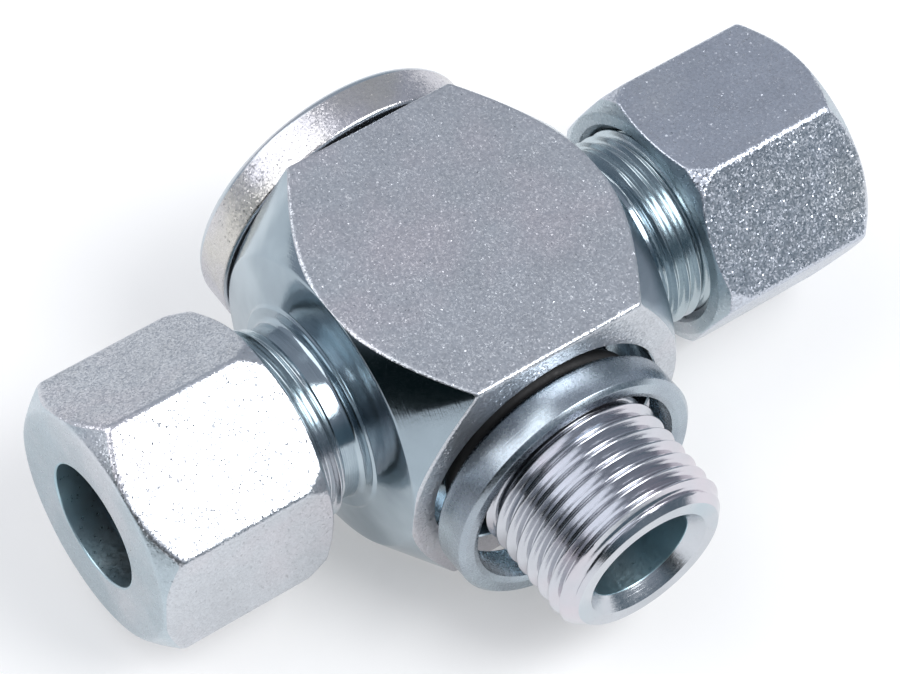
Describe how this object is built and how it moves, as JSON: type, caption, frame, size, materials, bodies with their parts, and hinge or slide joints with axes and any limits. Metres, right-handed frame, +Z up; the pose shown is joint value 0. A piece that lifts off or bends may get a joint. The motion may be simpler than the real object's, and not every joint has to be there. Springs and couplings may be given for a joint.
{
  "type": "compression fitting",
  "caption": "Swivel tee compression fitting: square tee body with a union nut on each tube arm, turning on a hollow bolt with a threaded stud and a loose retaining ring.",
  "frame": {"origin": "on the hollow bolt's axis, in the port plane, one front ring's length in front of the body's front face", "axes": "+X along the tube arms, +Y along the hollow bolt from its threaded end to its head, +Z up"},
  "size_m": [0.091, 0.0576, 0.0344],
  "materials": {
    "zinc_body": "zinc-plated bar, shot-blasted grain on the flats and bright turned ends",
    "zinc_bolt": "zinc-plated turned and threaded steel",
    "zinc_nut": "zinc-plated forged hexagon with fine sparkle",
    "zinc_ring": "zinc-plated smooth turned steel",
    "cutting_steel": "hardened turned steel",
    "seal_rubber": "matt black nitrile rubber"
  },
  "bodies": {
    "root": {"tee_body": "zinc_body", "rear_retaining_ring": "zinc_ring"},
    "bolt": {"hollow_bolt": "zinc_bolt", "front_o_ring": "seal_rubber", "rear_o_ring": "seal_rubber"},
    "front_ring": {"front_retaining_ring": "zinc_ring"},
    "left_ring": {"left_cutting_ring": "cutting_steel"},
    "left_nut": {"left_nut": "zinc_nut"},
    "right_ring": {"right_cutting_ring": "cutting_steel"},
    "right_nut": {"right_nut": "zinc_nut"}
  },
  "joints": [
    {"name": "bolt_swivel", "type": "hinge", "parent": "root", "child": "bolt", "pos_m": [0, 0, 0], "axis": [0, 1, 0], "continuous": true},
    {"name": "front_ring_slide", "type": "slide", "parent": "root", "child": "front_ring", "axis": [0, -1, 0], "range_m": [-0.0001, 0.0098]},
    {"name": "left_ring_slide", "type": "slide", "parent": "root", "child": "left_ring", "axis": [1, 0, 0], "range_m": [-0.00901, 0.00121]},
    {"name": "left_nut_turn", "type": "hinge", "parent": "left_ring", "child": "left_nut", "pos_m": [0, 0.0216, 0], "axis": [1, 0, 0], "range_deg": [-2160, 288]},
    {"name": "right_ring_slide", "type": "slide", "parent": "root", "child": "right_ring", "axis": [1, 0, 0], "range_m": [-0.00221, 0.00901]},
    {"name": "right_nut_turn", "type": "hinge", "parent": "right_ring", "child": "right_nut", "pos_m": [0, 0.0216, 0], "axis": [1, 0, 0], "range_deg": [-528, 2160]}
  ],
  "couplings": [
    {"joint": "left_ring_slide", "follows": "left_nut_turn", "m_per_rad": 0.00023873},
    {"joint": "right_ring_slide", "follows": "right_nut_turn", "m_per_rad": 0.00023873}
  ]
}
